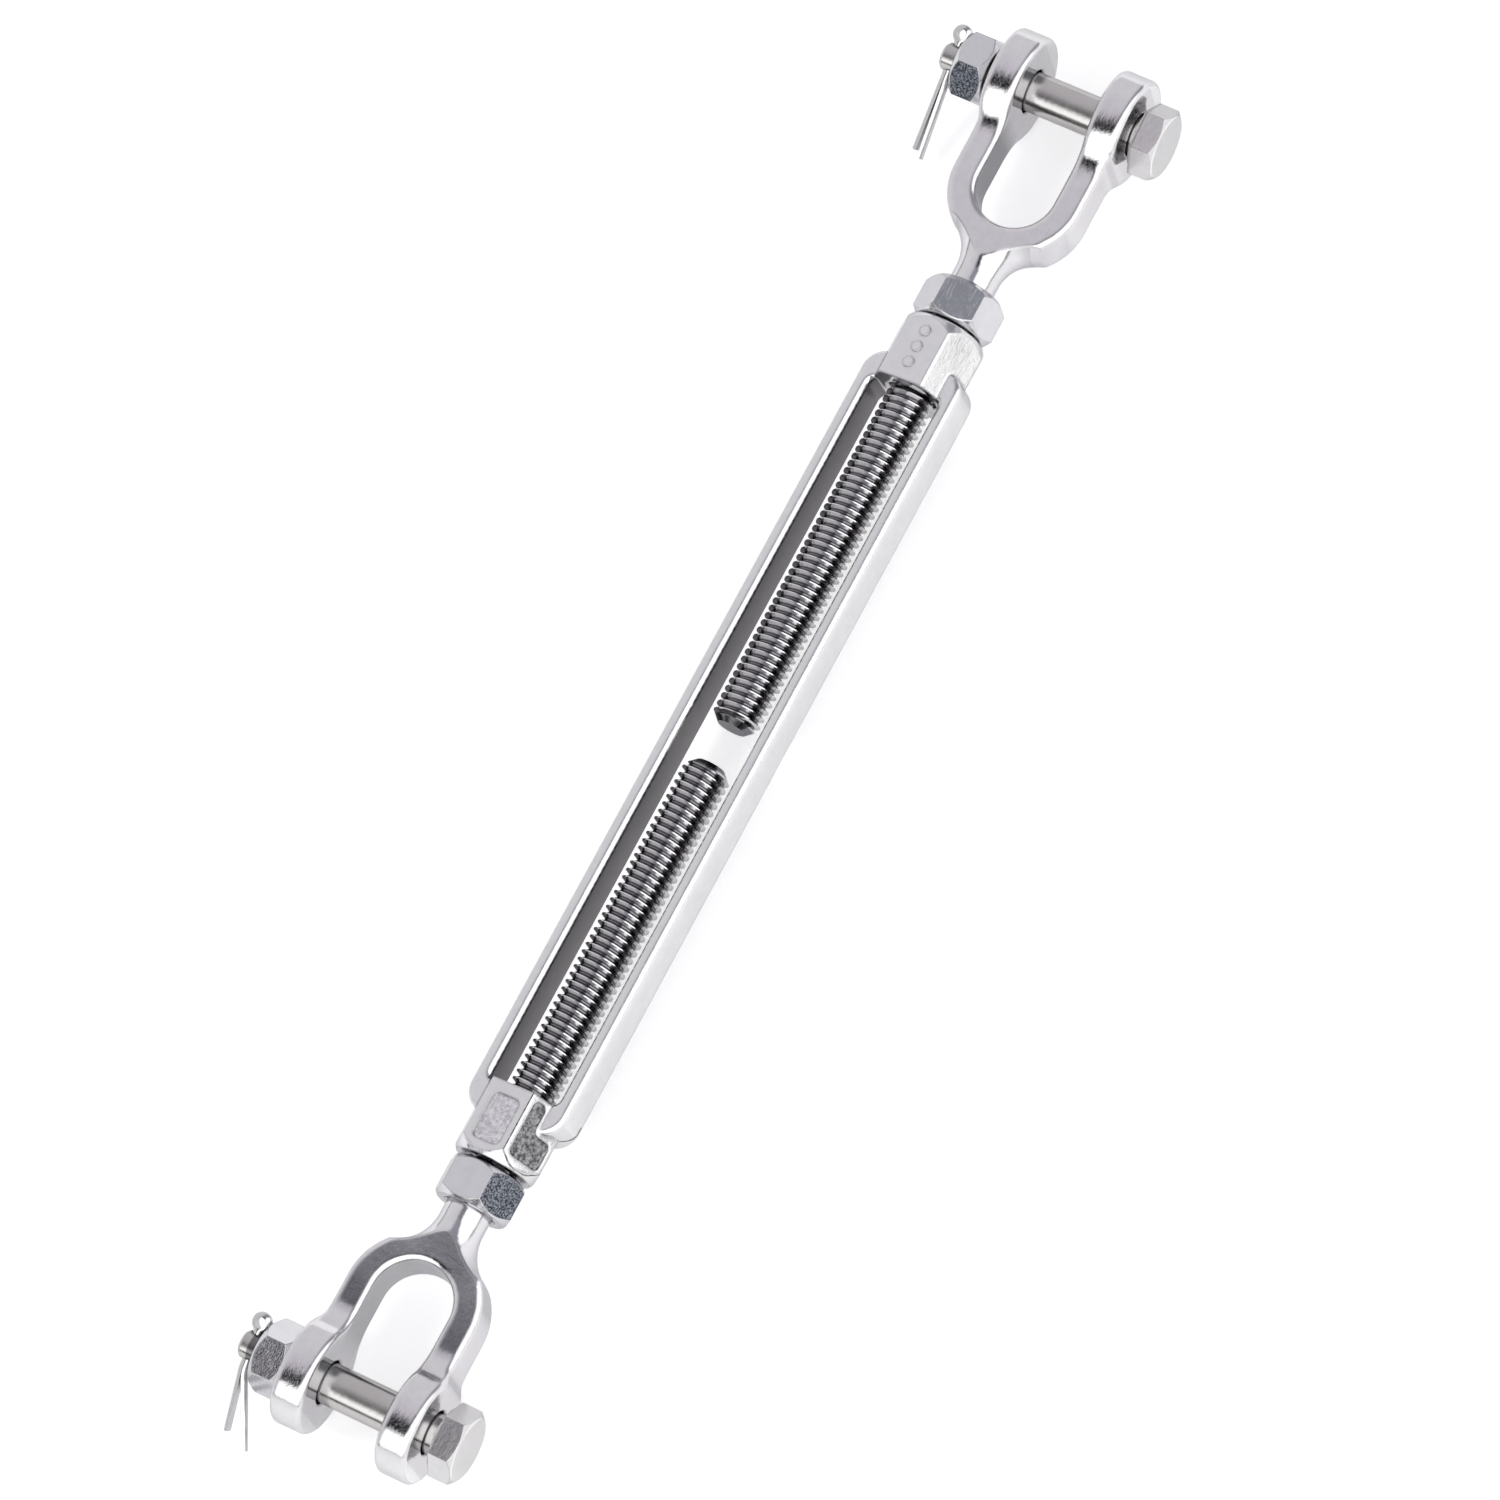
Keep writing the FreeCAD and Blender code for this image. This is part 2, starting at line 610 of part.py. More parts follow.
def cotter_half(body, name, section, leg, bend, outward):
    """Sweeps the half-round wire along one half of the eye and one leg.

    outward is the side of the pin that the half is on, 1 for +Y and -1 for -Y. Both legs bend
    towards -Y, which is away from the other leg for the inner one and after it for the outer one.
    """
    eye = cell("eye_radius")
    throat = cell("eye_throat")
    gap = cell("leg_gap")
    throat_x = cell("throat_start")
    run = root((eye + throat) * (eye + throat) - (gap + throat) * (gap + throat))
    eye_x = throat_x + run
    touch_x = eye_x - run * eye / (eye + throat)
    touch_y = (gap + throat) * eye / (eye + throat)
    radius = cell("bend_radius")
    bend_x = -cell("bend_start")
    bent_x = bend_x - radius * sine(bend)
    bent_y = gap - radius * (size(1) - cosine(bend)) * outward
    corners = [
        (eye_x + eye, size(0)), (eye_x, eye, eye, 1), (touch_x, touch_y, eye, 1),
        (throat_x, gap, throat, -1), (bend_x, gap), (bent_x, bent_y, radius, outward),
        (bent_x - leg * cosine(bend), bent_y - leg * sine(bend) * outward),
    ]
    path = new_sketch(body, f"{name}_path", "XY_Plane")
    draw(path, corners if outward > 0 else mirrored_corners(corners), closed=False)
    doc.recompute()
    half = body.newObject("PartDesign::AdditivePipe", name)
    half.Profile = section
    half.Spine = path
    path.Visibility = False
    doc.recompute()


def cotter_pin(label, side):
    """Split pin of half-round wire: an eye on +X and two legs along -X."""
    body = new_body(label)
    wire = cell("wire_radius")
    eye = cell("eye_radius")
    throat = cell("eye_throat")
    bend = cell("leg_gap") + throat
    eye_end = cell("throat_start") + root((eye + throat) * (eye + throat) - bend * bend) + eye
    section = new_sketch(body, f"{label}_wire_section", "XZ_Plane")
    draw(section, [(eye_end, -wire), (eye_end + wire, size(0), wire, 1),
                   (eye_end, wire, wire, 1)])
    for leg, outward in (("inner", -1), ("outer", 1)):
        cotter_half(body, f"{label}_{leg}_half", section, cell(f"{side}_{leg}_leg"),
                    cell(f"{side}_{leg}_bend"), outward)
    return body


# ---------------------------------------------------------------- assembly

head_end = cell("window_length") / 2 + cell("head_length")
nut_start = head_end + cell("lock_gap")

body = barrel()
place(body, 0, axis=ALONG_X, angle=cell("barrel_turn"))
parts = [body]

upper_jaw = jaw("upper", left_handed=False)
place(upper_jaw, cell("upper_pin"), angle=180)
lower_jaw = jaw("lower", left_handed=True)
place(lower_jaw, cell("lower_pin"))
parts += [upper_jaw, lower_jaw]

for side, x in (("upper", nut_start), ("lower", -(nut_start + cell("lock_thickness")))):
    nut = hex_nut(f"{side}_lock_nut", "YZ_Plane", cell("lock_flats"), cell("lock_thickness"),
                  cell("lock_face_radius"), cell("lock_bore"))
    place(nut, x, axis=ALONG_X, angle=cell(f"{side}_lock_turn"))
    parts.append(nut)

for side in ("upper", "lower"):
    pin_x = cell(f"{side}_pin")
    bearing_y = cell(f"{side}_bearing")
    bolt = clevis_bolt(f"{side}_clevis_bolt")
    place(bolt, pin_x, bearing_y, ALONG_Y, cell("cotter_turn"))
    nut = hex_nut(f"{side}_clevis_nut", "XZ_Plane", cell("bolt_flats"), cell("nut_thickness"),
                  cell("nut_face_radius"), cell("nut_bore"))
    place(nut, pin_x, cell(f"{side}_nut_seat"), ALONG_Y, cell(f"{side}_nut_turn"))
    cotter = cotter_pin(f"{side}_cotter_pin", side)
    hole_y = bearing_y + cell("bolt_length") - cell("cross_hole_inset")
    place(cotter, pin_x, hole_y, ALONG_Y, cell("cotter_turn"))
    parts += [bolt, nut, cotter]

doc.recompute()

failed = [o.Label for o in doc.Objects if "Invalid" in o.State or "Error" in o.State]
if failed:
    raise RuntimeError(f"features that failed: {failed}")
os.makedirs("parts", exist_ok=True)
for body in parts:
    shape = body.Shape
    if shape.isNull() or not shape.isValid() or len(shape.Solids) != 1:
        raise RuntimeError(f"{body.Label} is not one valid solid")
    shape.exportStep(f"parts/{body.Label}.step")
    print(f"{body.Label}: {shape.Volume / 1000:.3f} cm3, {len(shape.Faces)} faces")
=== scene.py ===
import math

import bpy
from mathutils import Matrix, Vector


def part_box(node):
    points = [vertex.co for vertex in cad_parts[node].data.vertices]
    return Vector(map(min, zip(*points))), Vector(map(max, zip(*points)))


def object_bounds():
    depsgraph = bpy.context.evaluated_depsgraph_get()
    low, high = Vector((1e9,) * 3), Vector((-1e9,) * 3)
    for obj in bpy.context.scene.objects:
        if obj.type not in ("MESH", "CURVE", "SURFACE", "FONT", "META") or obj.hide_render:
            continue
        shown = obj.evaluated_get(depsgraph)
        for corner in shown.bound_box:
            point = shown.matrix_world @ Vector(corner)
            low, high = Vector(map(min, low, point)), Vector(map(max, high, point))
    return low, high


# Looks for the rigging turnbuckle: polished stainless steel on a pale floor.
#
# Blender's lengths are metres, in the CAD frame: +X runs along the thread axis towards the upper
# jaw, +Y along the clevis bolts towards their nuts, and +Z up out of the front faces. The limits
# of the steel's zones are in millimetres, as the CAD's sizes are.

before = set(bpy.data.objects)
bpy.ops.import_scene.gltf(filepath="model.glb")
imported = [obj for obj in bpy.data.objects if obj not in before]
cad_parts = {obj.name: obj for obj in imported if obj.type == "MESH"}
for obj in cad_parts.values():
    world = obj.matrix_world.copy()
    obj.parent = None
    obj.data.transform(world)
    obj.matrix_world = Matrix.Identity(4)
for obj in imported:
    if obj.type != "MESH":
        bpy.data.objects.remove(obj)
cad_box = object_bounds()
scene = bpy.context.scene


# ---------------------------------------------------------------- camera

def look_from(tilt_x, tilt_y, roll, distance, aside, above, lens):
    """A long-lens camera above the object.

    The tilts lean it from straight overhead, towards the upper jaw and the bolts' heads. roll
    turns the thread axis clockwise from the picture's up. aside and above move it in its plane.
    """
    away = Vector((math.sin(tilt_x), -math.cos(tilt_x) * math.sin(tilt_y),
                   math.cos(tilt_x) * math.cos(tilt_y)))
    axis_up = (Vector((1, 0, 0)) - away * away.x).normalized()
    axis_right = axis_up.cross(away)
    right = axis_right * math.cos(roll) + axis_up * math.sin(roll)
    up = axis_up * math.cos(roll) - axis_right * math.sin(roll)
    data = bpy.data.cameras.new("camera")
    data.lens = lens
    data.sensor_width = 36.0
    data.clip_start = 0.05
    data.clip_end = 20.0
    camera = bpy.data.objects.new("camera", data)
    scene.collection.objects.link(camera)
    turn = Matrix((right, up, away)).transposed().to_4x4()
    place = right * aside + up * above + away * distance
    camera.matrix_world = Matrix.Translation(place) @ turn
    scene.camera = camera


look_from(tilt_x=math.radians(-13.55), tilt_y=math.radians(18.00), roll=math.radians(28.51),
          distance=1.649, aside=0.00510, above=-0.00090, lens=213.9)
scene.view_settings.view_transform = "Standard"


# ---------------------------------------------------------------- node helpers

class Graph:
    """Short calls for building a node tree. A value is a number, a colour or another socket."""

    def __init__(self, tree):
        self.tree = tree
        tree.nodes.clear()

    def node(self, kind, **settings):
        made = self.tree.nodes.new(kind)
        for name, value in settings.items():
            setattr(made, name, value)
        return made

    def put(self, socket, value):
        if isinstance(value, bpy.types.NodeSocket):
            self.tree.links.new(value, socket)
        elif value is not None:
            socket.default_value = value

    def math(self, operation, a, b=None, c=None, clamp=False):
        made = self.node("ShaderNodeMath", operation=operation, use_clamp=clamp)
        for socket, value in zip(made.inputs, (a, b, c)):
            self.put(socket, value)
        return made.outputs[0]

    def product(self, a, b):
        return self.math("MULTIPLY", a, b)

    def absolute(self, value):
        return self.math("ABSOLUTE", value)

    def vector(self, operation, a, b=None, scale=None):
        made = self.node("ShaderNodeVectorMath", operation=operation)
        self.put(made.inputs[0], a)
        self.put(made.inputs[1], b)
        if scale is not None:
            self.put(made.inputs["Scale"], scale)
        return made.outputs["Value" if operation == "DOT_PRODUCT" else "Vector"]

    def split(self, vector):
        made = self.node("ShaderNodeSeparateXYZ")
        self.put(made.inputs[0], vector)
        return made.outputs

    def ramp(self, factor, stops):
        """Colours or greys in stops of (place, colour), joined by straight lines."""
        made = self.node("ShaderNodeValToRGB")
        elements = made.color_ramp.elements
        while len(elements) < len(stops):
            elements.new(0.5)
        for element, (place, colour) in zip(elements, stops):
            element.position = place
            if isinstance(colour, (int, float)):
                colour = (colour, colour, colour)
            element.color = (*colour, 1.0)
        self.put(made.inputs[0], factor)
        return made.outputs[0]

    def noise(self, where, scale, detail=2.0, roughness=0.5):
        made = self.node("ShaderNodeTexNoise")
        self.put(made.inputs["Vector"], where)
        self.put(made.inputs["Scale"], scale)
        self.put(made.inputs["Detail"], detail)
        self.put(made.inputs["Roughness"], roughness)
        return made.outputs[0]

    def mapped(self, where, scale=(1, 1, 1), rotation=(0, 0, 0)):
        made = self.node("ShaderNodeMapping")
        self.put(made.inputs["Vector"], where)
        made.inputs["Scale"].default_value = scale
        made.inputs["Rotation"].default_value = rotation
        return made.outputs[0]

    def mix_colour(self, factor, a, b, blend="MIX"):
        made = self.node("ShaderNodeMix", data_type="RGBA", blend_type=blend)
        self.put(made.inputs[0], factor)
        for socket, value in ((made.inputs[6], a), (made.inputs[7], b)):
            if isinstance(value, tuple) and len(value) == 3:
                value = (*value, 1.0)
            self.put(socket, value)
        return made.outputs[2]

    def times(self, a, b):
        """One colour multiplied by another."""
        return self.mix_colour(1.0, a, b, "MULTIPLY")

    def mix_value(self, factor, a, b):
        made = self.node("ShaderNodeMix", data_type="FLOAT")
        self.put(made.inputs[0], factor)
        self.put(made.inputs[2], a)
        self.put(made.inputs[3], b)
        return made.outputs[0]

    def bump(self, height, distance, normal):
        made = self.node("ShaderNodeBump")
        made.inputs["Strength"].default_value = 1.0
        made.inputs["Distance"].default_value = distance
        self.put(made.inputs["Height"], height)
        self.put(made.inputs["Normal"], normal)
        return made.outputs[0]


# ---------------------------------------------------------------- studio

# level directions: the ceiling opens along the first, and the wall of light stands along the
# second
CEILING_WAY = (0.2075, 0.978, 0.0)
WALL_WAY = (-0.491, -0.871, 0.0)

FLOOR_HALF_WIDTH = 3.0


def studio_light():
    """What the steel mirrors: a pale lilac ceiling, a white wall of light, and a dark gap between.

    A dark skirting runs low round the studio, except beyond the upper jaw. The floor is lit by an
    even grey instead, so that the key light's shadow still shows on it.
    """
    world = bpy.data.worlds.new("studio")
    scene.world = world
    world.use_nodes = True
    g = Graph(world.node_tree)
    where = g.node("ShaderNodeTexCoord").outputs["Generated"]
    x, _, height = g.split(where)
    to_ceiling = g.vector("DOT_PRODUCT", where, CEILING_WAY)
    to_wall = g.vector("DOT_PRODUCT", where, WALL_WAY)
    ceiling = g.ramp(to_ceiling, [(0.25, (0.72, 0.685, 0.74)), (0.45, (0.84, 0.82, 0.86)),
                                  (1.0, (0.92, 0.92, 0.93))])
    gap = g.ramp(x, [(0.0, (0.022, 0.022, 0.025)), (0.10, (0.07, 0.07, 0.08)),
                     (0.16, (0.26, 0.26, 0.28)), (0.25, (0.36, 0.37, 0.41))])
    wall = g.ramp(height, [(0.03, 1.1), (0.35, 2.1), (1.0, 2.3)])
    light = g.mix_colour(g.ramp(to_ceiling, [(0.235, 0.0), (0.285, 1.0)]), gap, ceiling)
    light = g.mix_colour(g.ramp(to_wall, [(0.02, 0.0), (0.08, 1.0)]), light, wall)

    # the skirting is higher beyond the lower jaw
    beyond = g.ramp(g.math("MULTIPLY", x, -1.0), [(0.80, 0.0), (0.88, 1.0)])
    level = g.math("MULTIPLY_ADD", beyond, -0.15, height)
    skirting = g.times(light, g.ramp(level, [(0.080, 0.10), (0.098, 1.0)]))
    light = g.mix_colour(g.ramp(x, [(0.45, 1.0), (0.60, 0.0)]), light, skirting)

    path = g.node("ShaderNodeLightPath")
    light = g.mix_colour(path.outputs["Is Diffuse Ray"], light, (0.50, 0.50, 0.51))
    light = g.mix_colour(path.outputs["Is Camera Ray"], light, (0.93, 0.93, 0.935))
    background = g.node("ShaderNodeBackground")
    g.put(background.inputs["Color"], light)
    background.inputs["Strength"].default_value = 1.0
    output = g.node("ShaderNodeOutputWorld")
    g.put(output.inputs["Surface"], background.outputs[0])


def area_light(name, place, size, power):
    """A round soft light that looks at the object and leaves no glint in the steel."""
    data = bpy.data.lights.new(name, "AREA")
    data.shape = "DISK"
    data.size = size
    data.energy = power
    lamp = bpy.data.objects.new(name, data)
    scene.collection.objects.link(lamp)
    lamp.location = place
    lamp.rotation_euler = (-Vector(place)).to_track_quat("-Z", "Y").to_euler()
    lamp.visible_glossy = False


def floor():
    """Pale paper under the object, which glows a little so that it stays white."""
    z = cad_box[0][2]
    half = FLOOR_HALF_WIDTH
    mesh = bpy.data.meshes.new("floor")
    mesh.from_pydata([(-half, -half, z), (half, -half, z), (half, half, z), (-half, half, z)],
                     [], [(0, 1, 2, 3)])
    made = bpy.data.objects.new("floor", mesh)
    scene.collection.objects.link(made)
    material = bpy.data.materials.new("floor_paper")
    material.use_nodes = True
    g = Graph(material.node_tree)
    fibres = g.noise(g.node("ShaderNodeTexCoord").outputs["Object"], 900.0)
    shader = g.node("ShaderNodeBsdfPrincipled")
    g.put(shader.inputs["Base Color"],
          g.ramp(fibres, [(0.3, (0.94, 0.94, 0.945)), (0.7, (0.96, 0.96, 0.965))]))
    shader.inputs["Roughness"].default_value = 0.9
    shader.inputs["Specular IOR Level"].default_value = 0.2
    shader.inputs["Emission Color"].default_value = (1.0, 0.995, 1.0, 1.0)
    shader.inputs["Emission Strength"].default_value = 0.46
    output = g.node("ShaderNodeOutputMaterial")
    g.put(output.inputs["Surface"], shader.outputs[0])
    mesh.materials.append(material)


studio_light()
area_light("key", place=(-0.9, 1.3, 1.7), size=0.7, power=11.0)
floor()


# ---------------------------------------------------------------- steel

MM = 0.001
PER_MM = 1000.0
WHITE = (1.0, 1.0, 1.0)

# heights of the fine relief, in metres
WAVE_HEIGHT = 0.00022
PEEL_HEIGHT = 0.000012
GRAIN_HEIGHT = 0.0000075
SCRATCH_HEIGHT = 0.000003


class Steel:
    """Stainless steel: slow waves of hand polishing, a faint peel, a fine grain and hairlines.
    """

    def __init__(self, name, tint, rough, wave=1.0, peel=1.0, grain=1.0, scratch=1.0,
                 soft=0.4 * MM):
        self.material = bpy.data.materials.new(name)
        self.material.use_nodes = True
        g = self.g = Graph(self.material.node_tree)
        coordinates = g.node("ShaderNodeTexCoord")
        self.where = coordinates.outputs["Object"]
        self.facing = coordinates.outputs["Normal"]
        self.x, self.y, self.z = g.split(self.where)
        blotch = g.noise(self.where, 420.0, 3.0, 0.6)
        self.tint = g.ramp(blotch, [(0.25, tuple(c * 0.93 for c in tint)), (0.75, tint)])
        self.rough = g.mix_value(blotch, rough * 0.7, rough * 1.3)
        rounding = g.node("ShaderNodeBevel", samples=6)
        rounding.inputs["Radius"].default_value = soft
        self.normal = rounding.outputs[0]
        self.exact = g.node("ShaderNodeNewGeometry").outputs["Normal"]
        edge = g.vector("DOT_PRODUCT", self.normal, self.exact)
        # painted shade: thin dark lines along the rounded edges and creases
        self.edge_shade = g.ramp(edge, [(0.89, 0.50), (0.965, 1.0)])
        self.wave, self.peel, self.grain, self.scratch = wave, peel, grain, scratch
        self.cast = None    # a rough casting's height in metres, where there is one
        self.open = 0.0     # how far the painted shade in gaps and along edges is left out

    def inside(self, value, low=None, high=None, soft=0.05):
        """1 between low and high, 0 outside, over soft: all in millimetres, and value in metres."""
        g = self.g
        mask = None
        if low is not None:
            mask = g.math("MULTIPLY_ADD", value, PER_MM / soft, -low / soft + 0.5, clamp=True)
        if high is not None:
            fall = g.math("MULTIPLY_ADD", value, -PER_MM / soft, high / soft + 0.5, clamp=True)
            mask = fall if mask is None else g.product(mask, fall)
        return mask

    def towards(self, way, both_ways=False):
        """1 on flats whose own normal is along way, and 0 elsewhere."""
        g = self.g
        along = g.vector("DOT_PRODUCT", self.facing, Vector(way).normalized())
        if both_ways:
            along = g.absolute(along)
        return g.ramp(along, [(0.94, 0.0), (0.985, 1.0)])

    def from_axis(self, a, b, a_middle=0.0):
        """Distance in metres from a line along the third axis, which crosses a at a_middle."""
        g = self.g
        along = g.math("SUBTRACT", a, a_middle)
        return g.math("SQRT", g.math("ADD", g.product(along, along), g.product(b, b)))

    def zone(self, mask, tint=None, rough=None):
        """Multiplies the colour by tint and sets the roughness where mask is 1."""
        g = self.g
        if tint is not None:
            self.tint = g.mix_colour(mask, self.tint, g.times(self.tint, tint))
        if rough is not None:
            self.rough = g.mix_value(mask, self.rough, rough)

    def lean(self, mask, way):
        """Turns the surface's normal by way where mask is 1, as a hand-polished face turns."""
        g = self.g
        turn = g.vector("SCALE", way, scale=mask)
        self.normal = g.vector("NORMALIZE", g.vector("ADD", self.normal, turn))

    def sharp(self, mask):
        """Keeps the mesh's own edges where mask is 1."""
        g = self.g
        between = g.node("ShaderNodeMix", data_type="VECTOR")
        g.put(between.inputs[0], mask)
        g.put(between.inputs[4], self.normal)
        g.put(between.inputs[5], self.exact)
        self.normal = g.vector("NORMALIZE", between.outputs[1])

    def relief(self):
        """The normal, with all the fine relief."""
        g = self.g
        normal = self.normal
        layers = [(g.noise(self.where, 70.0, 1.0, 0.4), WAVE_HEIGHT * self.wave),
                  (g.noise(self.where, 900.0, 2.0, 0.5), PEEL_HEIGHT * self.peel),
                  (g.noise(self.where, 3300.0, 2.0, 0.6), GRAIN_HEIGHT * self.grain)]
        if self.scratch:
            along = g.mapped(self.where, scale=(500, 6000, 6000), rotation=(0.2, 0.1, 0.3))
            lines = g.ramp(g.noise(along, 1.0), [(0.60, 0.0), (0.66, 1.0)])
            layers.append((lines, SCRATCH_HEIGHT * self.scratch))
        if self.cast:
            layers.append((self.cast, 1.0))
        for height, distance in layers:
            normal = g.bump(height, distance, normal)
        return normal

    def finish(self):
        """The material, with painted shade in gaps, thin painted dark lines along edges and
        creases, and darker glancing light.
        """
        g = self.g
        # painted shade: the colour is darkened in gaps and crevices by ambient occlusion, and along
        # edges and creases
        gaps = g.node("ShaderNodeAmbientOcclusion", samples=6)
        gaps.inputs["Distance"].default_value = 1.2 * MM
        dark = g.times(g.ramp(gaps.outputs["AO"], [(0.05, 0.12), (0.55, 1.0)]), self.edge_shade)
        dark = g.mix_colour(self.open, dark, WHITE)
        shader = g.node("ShaderNodeBsdfPrincipled")
        shader.inputs["Metallic"].default_value = 1.0
        shader.inputs["Specular Tint"].default_value = (0.62, 0.62, 0.63, 1.0)
        g.put(shader.inputs["Base Color"], g.times(self.tint, dark))
        g.put(shader.inputs["Roughness"], self.rough)
        g.put(shader.inputs["Normal"], self.relief())
        output = g.node("ShaderNodeOutputMaterial")
        g.put(output.inputs["Surface"], shader.outputs[0])
        return self.material


# ---------------------------------------------------------------- jaws

# in millimetres, the first ones along the thread axis from the middle of the barrel
UPPER_EAR_END = 148.3       # where the satin rim of the ears begins
LOWER_EAR_END = 146.8
LEGS = (111.0, 131.0)
LOWER_CROWN = (-126.0, -105.0)
STUD_END = 100.0

LEG_HALF_DEPTH = 4.6        # short of the legs' rounded edges
LEG_INNER_Y = 7.9           # takes in the legs' inner faces
LEG_OUTER_Y = 11.0          # takes in the outer faces of the legs and ears
THREAD_RAMP = 5.0           # the radius at which the thread's ramp ends
THREAD_ROOT, THREAD_FLANK = 0.75, 0.82      # as shares of that radius


def jaw_steel(name, lower):
    """Mirror-polished fork with satin ear ends and painted shade and light on its legs, and a
    bright stud with painted shade in its thread roots.
    """
    steel = Steel(name, (0.69, 0.68, 0.695), 0.07, scratch=0.5, soft=0.9 * MM)
    g = steel.g
    reach, width, depth = g.absolute(steel.x), g.absolute(steel.y), g.absolute(steel.z)

    ear_ends = steel.inside(reach, low=LOWER_EAR_END if lower else UPPER_EAR_END, soft=0.2)
    steel.zone(ear_ends, (1.06, 1.07, 1.06), 0.36)
    # painted shade: the legs' inner faces are darkened, as shade falls between the legs, and made
    # rougher
    legs = g.product(steel.inside(reach, *LEGS, soft=5.0),
                     steel.inside(depth, high=LEG_HALF_DEPTH, soft=0.2))
    inner = g.product(legs, steel.inside(width, high=LEG_INNER_Y, soft=0.1))
    steel.zone(inner, (0.72, 0.73, 0.73) if lower else (0.50, 0.50, 0.51), 0.22)
    # painted light: the outer faces of the legs and ears are lightened
    outside = g.product(steel.towards((0, 1, 0), both_ways=True),
                        steel.inside(width, low=LEG_OUTER_Y, soft=0.5))
    steel.zone(outside, (1.28, 1.28, 1.27))

    stud = steel.inside(reach, high=STUD_END, soft=0.3)
    # painted shade: the colour darkens towards the thread's roots
    radius = g.math("MULTIPLY", steel.from_axis(steel.y, steel.z), PER_MM / THREAD_RAMP)
    steel.zone(stud, g.ramp(radius, [(THREAD_ROOT, (0.25, 0.25, 0.26)), (THREAD_FLANK, WHITE)]),
               0.15)
    steel.open = g.math("MULTIPLY", stud, 0.85)
    steel.sharp(stud)

    if lower:
        # the crown is turned a little towards the dark gap, and painted shade makes it darker down
        # the legs and lighter towards the stud
        crown = steel.inside(steel.x, *LOWER_CROWN, soft=3.0)
        steel.lean(crown, (0.0, -0.085, 0.0))
        start, end = LOWER_CROWN
        up_it = g.math("MULTIPLY_ADD", steel.x, PER_MM / (end - start), -start / (end - start))
        faces = g.product(crown, steel.towards((0, 0, 1), both_ways=True))
        steel.zone(faces, g.ramp(up_it, [(0.20, (0.74, 0.74, 0.75)), (0.75, (1.20, 1.20, 1.20))]))
    return steel.finish()


# ---------------------------------------------------------------- barrel

BARREL_TURN = math.radians(9.5)     # turns the barrel's own front face up to +Z
NEXT_FLAT = math.radians(60.0)

# in millimetres, across and along the barrel as it stands after that turn
WINDOW_HALF_WIDTH = 7.66    # takes in the rails' inner faces
WINDOW_HALF_LENGTH = 76.1
RAIL_SIDE = 10.5            # takes in the rails' outer faces
RAIL_DEPTH = 8.5
LOWER_HEAD = (-90.0, -76.4)
PANEL_FLOOR = (7.66, 7.90)  # takes in the floors of the recessed panels, and no more


def barrel_steel():
    """Polished outside with painted light on the rails' outer faces, rougher rails inside the
    window darkened by painted shade, and rough cast panels on the lower head, the side one darkened
    by painted shade.
    """
    steel = Steel("barrel_steel", (0.70, 0.695, 0.705), 0.09, grain=1.2, soft=0.8 * MM)
    g = steel.g
    _, across, out = g.split(g.mapped(steel.where, rotation=(BARREL_TURN, 0, 0)))
    width = g.absolute(across)
    window = g.product(steel.inside(width, high=WINDOW_HALF_WIDTH, soft=0.04),
                       steel.inside(g.absolute(steel.x), high=WINDOW_HALF_LENGTH, soft=0.1))
    # painted shade: the rails' inner faces inside the window are darkened, most towards the front,
    # and made rougher
    through = g.math("MULTIPLY_ADD", out, PER_MM / RAIL_DEPTH, 0.5)
    steel.zone(window, g.ramp(through, [(0.0, (0.36, 0.35, 0.35)), (0.9, (0.20, 0.195, 0.195))]),
               0.24)
    # painted light: the rails' outer faces are lightened
    steel.zone(steel.inside(width, low=RAIL_SIDE, soft=0.1), (1.10, 1.10, 1.10))

    slanted = g.mapped(steel.where, rotation=(BARREL_TURN - NEXT_FLAT, 0, 0))
    lower_head = steel.inside(steel.x, *LOWER_HEAD)
    side_panel = g.product(lower_head, steel.inside(g.split(slanted)[2], *PANEL_FLOOR))
    front_panel = g.product(lower_head, steel.inside(out, *PANEL_FLOOR))
    pits = g.noise(steel.where, 1300.0, 3.0, 0.7)
    # the side panel's pitted cast tone, with painted shade darkening it all over
    steel.zone(side_panel, g.ramp(pits, [(0.38, (0.10, 0.10, 0.105)), (0.62, (0.50, 0.50, 0.51))]),
               0.28)
    steel.zone(front_panel, g.ramp(pits, [(0.35, (0.66, 0.65, 0.68)), (0.60, (1.08, 1.06, 1.09))]),
               0.20)
    front_depth = g.product(front_panel, 0.03 * MM)
    depth = g.math("MULTIPLY_ADD", side_panel, 0.05 * MM, front_depth)
    steel.cast = g.product(pits, depth)
    return steel.finish()


# ---------------------------------------------------------------- bolts, nuts and cotter pins

# in millimetres, along the bolt except for the last
HEAD = -16.3                # below this is only the head, on both bolts
BOLT_THREAD = (11.0, 24.0)
BOLT_THREAD_FLANK = 3.75    # the radius below which painted shade darkens the thread

# the flats darkened by painted shade, speckled and made rougher, by their outward direction
SHADED_FLATS = {"lower_lock_nut": (0.0, -0.793, 0.609), "upper_clevis_nut": (-0.755, 0.0, 0.656)}


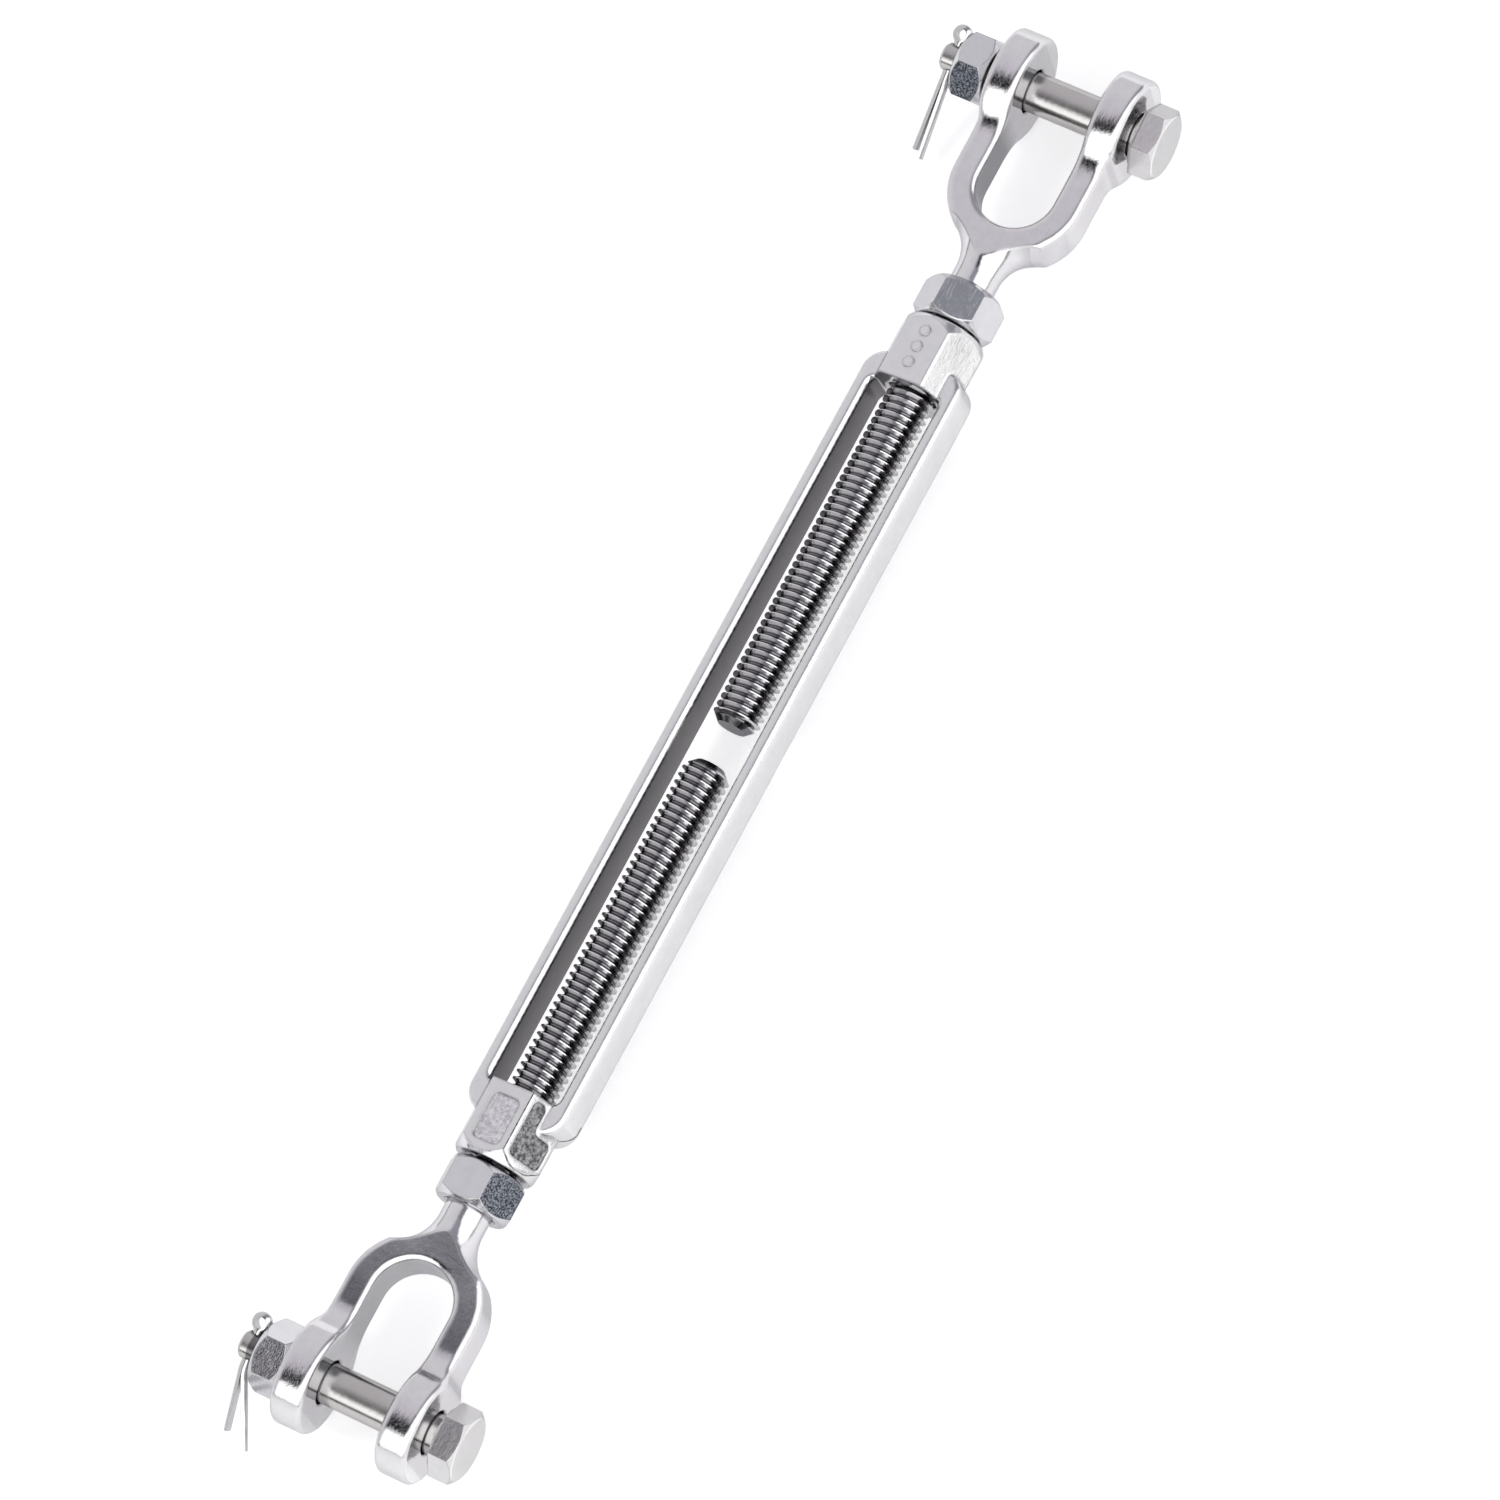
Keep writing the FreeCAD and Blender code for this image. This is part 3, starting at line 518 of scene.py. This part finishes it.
def bolt_steel(side):
    """Satin turned shank with painted shade in its thread roots, and a polished head with a bright
    end face.
    """
    steel = Steel(f"{side}_bolt_steel", (0.50, 0.49, 0.48), 0.18, wave=0.3, scratch=0.0,
                  soft=0.25 * MM)
    g = steel.g
    low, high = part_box(f"{side}_clevis_nut")
    pin_x = (low[0] + high[0]) / 2
    end_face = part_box(f"{side}_clevis_bolt")[0][1] / MM + 0.2
    strokes = g.noise(g.mapped(steel.where, scale=(300, 9000, 300)), 1.0, 3.0, 0.7)
    steel.cast = g.math("MULTIPLY", strokes, 0.006 * MM)
    head = steel.inside(steel.y, high=HEAD, soft=0.1)
    steel.zone(head, (1.30, 1.31, 1.34), 0.14)
    steel.zone(steel.inside(steel.y, high=end_face, soft=0.1), (1.26, 1.26, 1.25))
    radius = steel.from_axis(steel.x, steel.z, a_middle=pin_x)
    thread = g.product(steel.inside(steel.y, *BOLT_THREAD, soft=0.3),
                       steel.inside(radius, high=BOLT_THREAD_FLANK, soft=0.3))
    # painted shade in the thread roots
    steel.zone(thread, (0.35, 0.35, 0.35))
    if side == "upper":
        steel.lean(head, (0.07, 0.0, 0.0))
    return steel.finish()


def nut_steel(name):
    """Plain polished nut, with one flat darkened by painted shade, speckled and rougher, on two of
    them.
    """
    steel = Steel(f"{name}_steel", (0.64, 0.64, 0.66), 0.11, wave=0.15, peel=0.8, grain=2.2)
    if name in SHADED_FLATS:
        specks = steel.g.noise(steel.where, 2600.0, 2.0, 0.6)
        shade = steel.g.ramp(specks, [(0.42, (0.07, 0.08, 0.10)), (0.66, (0.50, 0.53, 0.58))])
        # painted shade: one flat is darkened, with specks
        steel.zone(steel.towards(SHADED_FLATS[name]), shade, 0.30)
    return steel.finish()


def finish_of(name):
    """The material for the CAD node of this name."""
    side = name.split("_")[0]
    if name == "barrel":
        return barrel_steel()
    if name.endswith("jaw"):
        return jaw_steel(f"{side}_jaw_steel", side == "lower")
    if name.endswith("clevis_bolt"):
        return bolt_steel(side)
    if name.endswith("cotter_pin"):
        return Steel(f"{side}_cotter_wire", (0.60, 0.60, 0.605), 0.16, wave=0.3, grain=0.8,
                     soft=0.1 * MM).finish()
    return nut_steel(name)


for name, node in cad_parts.items():
    node.data.materials.clear()
    node.data.materials.append(finish_of(name))
